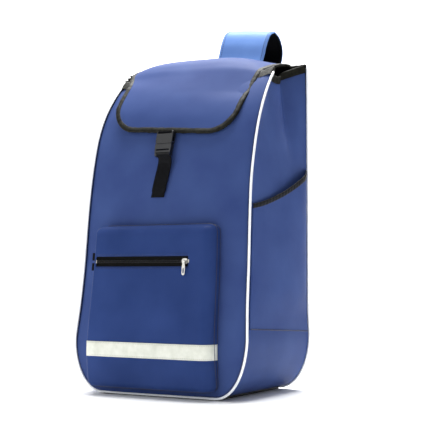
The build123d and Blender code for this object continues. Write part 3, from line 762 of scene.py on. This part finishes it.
# zip: two tapes and two rows of coil behind the slit, leaning with the pocket's face
zipMiddle = Vector((0, -130.5, zipper["z"]))
zipOut = Vector((0, -0.99452, 0.104528))
zipUp = Vector((0, 0.104528, 0.99452))
coil = {"pitch": 1.7, "left": -116, "turns": 109, "radius": 1.15, "wire": 0.42}
for sign, name in ((1, "Upper"), (-1, "Lower")):
    def tapePoint(u, v):
        # each tape lies flat, its inner edge beside the coil
        x = between(-122, 76, u)
        across = between(2.2, 15, v) if sign > 0 else between(-15, -2.2, v)
        return zipMiddle + Vector((x, 0, 0)) + zipUp * across + zipOut * (-1.8)
    makeSheet("zipTape" + name, 60, 6, tapePoint, (198, 13), 0.7, zipTape, "bag",
              ["zip_tape_" + name.lower()])
    # one turn of the coil, then copies of it
    bpy.ops.object.select_all(action="DESELECT")
    bpy.ops.mesh.primitive_torus_add(major_segments=10, minor_segments=5, major_radius=coil["radius"] * mm,
                                     minor_radius=coil["wire"] * mm, rotation=(0, math.radians(90), 0))
    turnOfCoil = bpy.context.object
    bpy.ops.object.transform_apply(location=False, rotation=True, scale=True)
    applyModifier(turnOfCoil, "ARRAY", count=coil["turns"], use_relative_offset=False,
                  use_constant_offset=True, constant_offset_displace=(coil["pitch"] * mm, 0, 0))
    turnOfCoil.name = turnOfCoil.data.name = "zipCoil" + name
    shift = Vector((coil["left"] + (0 if sign > 0 else coil["pitch"] / 2), 0, 0)) + zipMiddle
    shift += zipUp * sign * 1.5 + zipOut * -1.6
    for vertex in turnOfCoil.data.vertices:
        vertex.co += shift * mm
    pick(turnOfCoil)
    bpy.ops.object.shade_smooth()
    finishPiece(turnOfCoil, coilNylon, "bag", ["zip_teeth_" + name.lower()])
    for row in (9.6, 12.2):
        line = [zipMiddle + Vector((x, 0, 0)) + zipUp * sign * row + zipOut * 0.3
                for x in range(-112, 74, 3)]
        stitchRow("zipStitch{}{}".format(name, round(row)), line, lambda place: zipOut, navyThread,
                  "bag", 3.0, 2.2, 0.28)
print("zip made")

# side pockets: flat on the seams, baggy towards the back and the open top
sidePocket = {"bottomFront": 115, "bottomBack": 102, "elastic": 8}
sideTopRows = [(-110, 313), (-60, 322), (0, 341), (60, 366), (120, 392)]


def sidePocketPlace(a, b, out=0):
    v = between(0.035, 0.972, a)
    low = between(sidePocket["bottomFront"], sidePocket["bottomBack"], v)
    y = between(-95, bag["backY"], v)
    high = rowsAt(sideTopRows, y)[0]
    z = between(low, high, b)
    opening = smoothStep(0, 0.3, b) * between(0.55, 1, b)
    ends = (1 - (2 * a - 1) ** 6)
    bulge = between(2.5, 11, smoothStep(0.1, 0.85, a)) * ends * opening
    pull = 0.25 * smoothStep(0.9, 1, b) * math.sin(a * 130) * ends
    slack = (1.2 * ripple(5, y, z, 60) + 0.8 * ripple(9, y * 0.6 + z * 0.5, z, 28)) * ends * opening
    return gussetPlace(v, z, 1.4 + bulge + pull + slack + out)


for side, name in ((1, "Right"), (-1, "Left")):
    def placeOn(a, b, out=0):
        place = sidePocketPlace(a if side > 0 else 1 - a, b, out)
        return Vector((side * place.x, place.y, place.z))
    makeSheet("sidePocket" + name, 60, 60, placeOn, (210, 270), 1.2, bodyCloth, "bag",
              ["side_pocket_" + name.lower()], lining)

    def pocketRim(t, d):
        return placeOn(t, 1 - d / 250, 0)
    piece = foldedTape("sidePocketElastic" + name, pocketRim, sidePocket["elastic"], 1.2, 160, 220, 0.25)
    thicken(piece, 0.5)
    finishPiece(piece, elasticTape, "bag", ["side_pocket_binding_" + name.lower()])
    line = [placeOn(i / 60, 0.005, 0.6) for i in range(61)]
    piece = cordTube("sidePocketSeam" + name, line, 0.8, lambda place: Vector((side, 0, 0)), 8, 90)
    finishPiece(piece, navyThread, "bag", ())
print("side pockets made")

# lid: side view of its top face, with the setback and droop of its side edges
lidSide = [(113, 578, 0, 0), (85, 588, 1, 3), (50, 591, 2, 5), (25, 583, 4, 3), (6, 568, 6, 1),
           (-9, 552, 8, 0), (-34, 526, 9, 0), (-55, 500, 9, 0), (-71, 475, 9, 0), (-83, 446, 9, 0)]
lidRows = [(row[0], *point) for row, point in zip(byLength([p[:2] for p in lidSide]), lidSide)]
lidHalfRows = [(495, 124, 122), (535, 128, 124), (572, 132, 138), (600, 134, 142)]
# how far its right edge sinks onto the bag's mouth, by length along the lid
lidSinkRows = [(0, 0), (30, 8), (65, 15), (91, 16), (115, 11), (137, 7), (173, 3), (207, 0), (400, 0)]
lid = {"bottom": 448, "corner": 49, "right": 124, "left": 122, "cloth": 1.3, "tape": 6.4, "lean": 0.04}
lidLong = lidRows[-1][0]


def lidAtHeight(z):
    # length along the lid at which its hanging part is at this height
    low, high = 70, lidLong
    for _ in range(30):
        middle = (low + high) / 2
        if rowsAt(lidRows, middle)[1] > z:
            low = middle
        else:
            high = middle
    return low


def lidPlace(x, run, off=0):
    # run is the length down the lid from its hinge; off is outwards
    if run < 0:
        # the hem, sewn down the back of the bag
        return Vector((x, bag["backY"] + 4.2 + off, 577 + run * 0.95))
    y, z, setBack, droop = rowsAt(lidRows, run)
    ahead = rowsAt(lidRows, min(run + 2, lidLong))
    behind = rowsAt(lidRows, max(run - 2, 0))
    along = Vector((0, ahead[0] - behind[0], ahead[1] - behind[1])).normalized()
    out = Vector((0, along.z, -along.y))
    share = (x / 140) ** 2
    # the sink is deep and wide on the right, shallow and close to the edge on the left
    power, strength = (3, 1) if x > 0 else (5, 0.35)
    sink = rowsAt(lidSinkRows, run)[0] * min(1.2, abs(x) / 121) ** power * strength
    hinge = hump(run, 0, 14) * 3.4
    wave = (1.0 * ripple(x, run, 5, 90) + 0.5 * ripple(x * 0.5, run, 9, 35)) * smoothStep(90, 160, run)
    # the flap stands higher on its left and hangs lower at its right corner
    hanging = smoothStep(120, 180, run)
    tilt = min(x, 0) * lid["lean"] * smoothStep(0, 50, run) + x * lid["lean"] * hanging
    tilt += (2 + max(x, 0) * lid["lean"]) * hanging
    place = Vector((x, y + setBack * share + hinge, z - droop * share - sink - tilt))
    return place + out * (off + wave)


lidCornerTop = lid["bottom"] + lid["corner"]
lidCornerRun = lidAtHeight(lidCornerTop)


lidBreak = 0.78  # share of the lid's length where its round corners begin


def lidRunAndHalves(v):
    # length down the lid at share v, and its half widths on the right and on the left
    if v < lidBreak:
        run = between(-12, lidCornerRun, v / lidBreak)
        z = rowsAt(lidRows, max(run, 0))[1]
        right, left = rowsAt(lidHalfRows, max(z, 495))
        return run, right, left
    angle = (v - lidBreak) / (1 - lidBreak) * math.pi / 2
    z = lidCornerTop - lid["corner"] * math.sin(angle)
    cornerIn = lid["corner"] * (math.cos(angle) - 1)
    return min(lidAtHeight(z), lidLong), lid["right"] + cornerIn, lid["left"] + cornerIn


def lidPoint(u, v):
    run, right, left = lidRunAndHalves(v)
    return lidPlace(between(right, -left, u), run)


def lidInner(u, v):
    run, right, left = lidRunAndHalves(v)
    return lidPlace(between(right - 1.5, 1.5 - left, u), run, -lid["cloth"] - 1.1)


def lidRim(t, d):
    # from the hinge down the right side, along the front edge and up the left side
    sideRun, cornerRun, frontRun = 190.0, 77.0, 144.0
    total = 2 * (sideRun + cornerRun) + frontRun
    run = t * total
    mirrored = run > total / 2
    run = total - run if mirrored else run
    half = lid["left"] if mirrored else lid["right"]
    if run < sideRun:
        reach = between(0, lidCornerRun, run / sideRun)
        z = rowsAt(lidRows, reach)[1]
        x = rowsAt(lidHalfRows, max(z, 495))[1 if mirrored else 0] - d
    elif run < sideRun + cornerRun:
        angle = (run - sideRun) / cornerRun * math.pi / 2
        radius = lid["corner"] - d
        x = half - lid["corner"] + radius * math.cos(angle)
        reach = lidAtHeight(lidCornerTop - radius * math.sin(angle))
    else:
        x = (half - lid["corner"]) * (1 - (run - sideRun - cornerRun) / frontRun * 2)
        reach = lidAtHeight(lid["bottom"] + d)
    return lidPlace(-x if mirrored else x, reach, -lid["cloth"] / 2 - 0.3)


lidFlap = makeSheet("lidFlap", 64, 110, lidPoint, (260, 290), lid["cloth"], bodyCloth, None,
                    ["lid_flap"])
lidLining = makeSheet("lidLining", 40, 70, lidInner, (255, 285), 0.8, lining, None,
                      ["lid_lining"])
lidBinding = foldedTape("lidBinding", lidRim, lid["tape"], 2.7, 560, 678, 0.8)
thicken(lidBinding, 0.5)
finishPiece(lidBinding, satinBinding, None, ["lid_binding"])
for piece in (lidFlap, lidLining, lidBinding):
    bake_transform(piece)
hem = [lidPlace(x, -9, 0.4) for x in range(-130, 131, 4)]
stitchRow("lidHemStitch", hem, lambda place: Vector((0, 1, 0)), navyThread, "bag")
print("lid made")

# webbing straps; side views are laid off the front panel and the buckle
buckleMiddle = Vector((0, -89.35, 426.88))
buckleUp = Vector((0, 0.26892, 0.963163))
buckleOut = Vector((0, -0.963163, 0.26892))


def onBuckle(up, out):
    place = buckleMiddle + buckleUp * up + buckleOut * out
    return place.y, place.z


def offFront(z, gap):
    return frontY(0, z) - gap, z


def strapSheet(name, sideView, half, thick, material, body, nodes, lean=None, steps=90,
               inner=None, bow=0):
    rows = byLength(sideView)
    long = rows[-1][0]

    def shape(u, v):
        y, z = rowsAt(rows, v * long)
        ahead = rowsAt(rows, min(v * long + 1, long))
        behind = rowsAt(rows, max(v * long - 1, 0))
        along = Vector((0, ahead[0] - behind[0], ahead[1] - behind[1])).normalized()
        out = Vector((0, -along.z, along.y))
        place = Vector(((2 * u - 1) * half, y, z))
        if lean:
            place += lean(place.x, z)
        return place + out * (thick / 2 - bow * (2 * u - 1) ** 2)
    return makeSheet(name, 12, steps, shape, (2 * half, long), thick, material, body, nodes,
                     inner)


lidStrapLine = [onBuckle(18.6, 3.1), onBuckle(16, 2.5), onBuckle(14.9, 0), onBuckle(16, -2.6),
                onBuckle(19.5, -5), offFront(452, 1.7), offFront(464, 2.9), offFront(480, 4.4)]
plugStrapLine = [offFront(z, 1) for z in (402, 390, 378, 366, 354, 342)]
tailLine = [onBuckle(-21.5, -3.2), onBuckle(-21.5, 2.6), onBuckle(-23.4, 5.6), onBuckle(-28.5, 5.6),
            offFront(388, 6.6), offFront(370, 4.2), offFront(350, 3.2), offFront(332, 3)]


def tailLean(x, z):
    # the free end leaves the buckle to the right and hangs back to the left
    return Vector((8 * smoothStep(410, 396, z) - 14 * min(max((398 - z) / 70, 0), 1), 0, 0))


def plugLean(x, z):
    return Vector((1.5 * smoothStep(402, 392, z) - 8 * smoothStep(400, 330, z), 0, 0))


strapSheet("lidStrap", lidStrapLine, 12.5, 1.3, webbing, "lid", ["lid_strap"])
strapSheet("plugStrap", list(reversed(plugStrapLine)), 12.5, 1.3, webbing, "bag", ["plug_strap"],
           plugLean)
strapSheet("strapTail", list(reversed(tailLine)), 12.5, 1.3, webbing, "plug", ["strap_tail"],
           tailLean)

# rear loop and its tab: side views from the seams on the back panel
loop = {"half": 49, "thick": 2.0, "inset": 5}
loopFrontLine = [(113.2, 498), (118, 524), (134, 552), (152, 582), (166, 608), (175, 635),
                 (189, 656), (208, 665)]
loopRearLine = [(208.4, 665), (226, 658), (240, 642), (244, 624), (238, 603), (217, 571),
                (187.7, 538.8), (170.7, 519.3), (153.7, 499.8)]
loopTabLine = [(113.2, 440), (119, 462), (132, 482), (150, 503), (167, 522.5), (184, 542)]
contactLine = loopTabLine[3:]


def loopLean(x, z):
    # the loop leans to the right and stands higher on its left
    return Vector((7 * smoothStep(545, 660, z), 0, (6.5 - 0.12 * x) * smoothStep(520, 650, z)))


def lineStitches(name, sideView, x, off, low, high, body):
    rows = byLength(sideView)
    long = rows[-1][0]
    points = []
    outs = []
    for i in range(81):
        run = between(low, high, i / 80) * long
        y, z = rowsAt(rows, run)
        ahead = rowsAt(rows, min(run + 1, long))
        behind = rowsAt(rows, max(run - 1, 0))
        along = Vector((0, ahead[0] - behind[0], ahead[1] - behind[1])).normalized()
        out = Vector((0, -along.z, along.y))
        points.append(Vector((x, y, z)) + loopLean(x, z) + out * off)
        outs.append(out)

    def outward(place):
        nearest = min(range(81), key=lambda k: (points[k] - place).length_squared)
        return outs[nearest]
    return stitchRow(name, points, outward, navyThread, body, 4.2, 3.2, 0.6)


strapSheet("loopStrapFront", loopFrontLine, loop["half"], loop["thick"], loopCloth, "bag",
           ["loop_strap_front"], loopLean, 90, lining, 1.2)
loopRear = strapSheet("loopStrapRear", loopRearLine, loop["half"], loop["thick"], loopCloth, None,
                      ["loop_strap_rear"], loopLean, 120, lining, 1.2)
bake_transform(loopRear)
strapSheet("loopTab", loopTabLine, loop["half"], loop["thick"], lining, "bag", ["loop_tab"],
           None, 60, loopCloth, 0.4)
strapSheet("loopHookTape", [(y - 1.26, z + 1.1) for y, z in contactLine], 43, 0.9, napBlack, "bag",
           ["loop_hook_tape"])
strapSheet("loopPileTape", [(y + 1.26, z - 1.1) for y, z in contactLine], 43, 0.9, napBlack,
           "loop_flap", ["loop_pile_tape"])
for side, name in ((1, "Right"), (-1, "Left")):
    x = side * (loop["half"] - loop["inset"])
    lineStitches("loopStitch" + name, loopFrontLine, x, 0.25, 0.02, 0.98, "bag")
    # lower straps that go round the trolley frame, with a reinforced end each
    frameLine = [(-40, 113.6), (-33, 113.7), (-26, 115.2), (-16, 121), (0, 128), (16, 121),
                 (26, 115.2), (33, 113.7), (40, 113.6)]
    rows = byLength(frameLine)

    def frameStrapPoint(u, v):
        run = u * rows[-1][0]
        x, y = rowsAt(rows, run)
        return side * 100 + x, y + 0.65, between(87.5, 112.5, v)

    def turnedPoint(u, v):
        return frameStrapPoint(1 - u, v)
    makeSheet("frameStrap" + name, 70, 10, turnedPoint, (95, 25), 1.3, webbing, "bag",
              ["frame_strap_" + name.lower()])
    for end in (-34, 34):
        box = [(end - 5, 90), (end + 5, 90), (end + 5, 110), (end - 5, 110), (end - 5, 90)]
        line = [Vector((side * 100 + x, 115.4, z)) for x, z in box]
        stitchRow("frameStrapStitch{}{}".format(name, "Inner" if end < 0 else "Outer"), line,
                  lambda place: Vector((0, 1, 0)), blackThread, "bag", 2.8, 2.1, 0.35)
print("straps and loop made")

# base: a black coated cover with rolled edges under the bag
bpy.ops.object.select_all(action="DESELECT")
low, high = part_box("base_cover")
middle = [(a + b) / 2 for a, b in zip(low, high)]
bpy.ops.mesh.primitive_cube_add(size=1, location=middle,
                                scale=[b - a for a, b in zip(low, high)])
baseCover = bpy.context.object
baseCover.name = baseCover.data.name = "baseCover"
bpy.ops.object.transform_apply(location=True, rotation=True, scale=True)
bpy.ops.object.mode_set(mode="EDIT")
bpy.ops.mesh.select_all(action="SELECT")
bpy.ops.mesh.bevel(offset=0.0018, segments=4, affect="EDGES")
bpy.ops.object.mode_set(mode="OBJECT")
bpy.ops.object.shade_smooth_by_angle(angle=math.radians(40))
finishPiece(baseCover, baseVinyl, "bag", ["base_cover"])

# CAD parts that stay, with their finishes
kept = {"buckle_socket": acetal, "buckle_plug": acetal, "zip_slider": nickel, "zip_puller": nickel,
        "zip_end_stops": nickel, "base_board": boardPlastic}
for node, material in kept.items():
    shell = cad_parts[node]
    for place in shell.material_slots:
        place.material = material
print("base and hardware done")

# floor and backdrop in one sweep, soft studio light, camera
studioWhite, tree, shader = newMaterial("studioPaperWhite", 0.9)
mixedColour(tree, shader, (cloudOf(tree, addNode(tree, "ShaderNodeTexCoord"), 900), "Result"),
            "#FDFDFD", "#FFFFFF")


def sweepPoint(u, v):
    x = between(-6000, 6000, u)
    run = v * 12000
    turn = Vector((math.sin(math.radians(30.5)), -math.cos(math.radians(30.5)), 0))
    across = Vector((-turn.y, turn.x, 0))
    if run < 7000:
        place = -turn * (run - 4500)
        z = 0
    elif run < 9000:
        angle = (run - 7000) / 2000 * math.pi / 2
        place = -turn * (2500 + 1273 * math.sin(angle))
        z = 1273 * (1 - math.cos(angle))
    else:
        place = -turn * 3773
        z = 1273 + run - 9000
    return place + across * x + Vector((0, 0, z))


paper = sheetGrid("studioSweep", 4, 60, sweepPoint, (12000, 12000))
paper.data.materials.append(studioWhite)

world = bpy.data.worlds.new("studio")
bpy.context.scene.world = world
world.use_nodes = True
world.node_tree.nodes["Background"].inputs["Color"].default_value = (0.93, 0.96, 1, 1)
world.node_tree.nodes["Background"].inputs["Strength"].default_value = 0.42


def softLight(name, place, target, power, size):
    data = bpy.data.lights.new(name, "AREA")
    data.energy = power
    data.size = size
    lamp = bpy.data.objects.new(name, data)
    bpy.context.collection.objects.link(lamp)
    lamp.location = place
    lamp.rotation_euler = (Vector(target) - Vector(place)).to_track_quat("-Z", "Y").to_euler()


softLight("topSoftbox", (-0.15, 0.5, 2.3), (0, 0, 0.5), 125, 1.6)
softLight("keySoftbox", (-1.2, -2.4, 1.5), (0, 0, 0.3), 20, 1.8)
softLight("rightFill", (2.8, -0.6, 1.6), (0.1, 0, 0.3), 3, 1.6)
softLight("sweepLight", (-1.2, 1.4, 2.8), (-1.6, 3.4, 0.5), 120, 2.5)

camera = bpy.data.cameras.new("camera")
camera.lens = 36 * 1100 / 430
camera.sensor_width = 36
cameraStand = bpy.data.objects.new("camera", camera)
bpy.context.collection.objects.link(cameraStand)
cameraStand.location = (1.0138, -1.6436, 0.2069)
cameraStand.rotation_euler = (math.radians(92.966), 0, math.radians(30.5))
bpy.context.scene.camera = cameraStand
bpy.context.scene.view_settings.view_transform = "Standard"
print("studio lit")
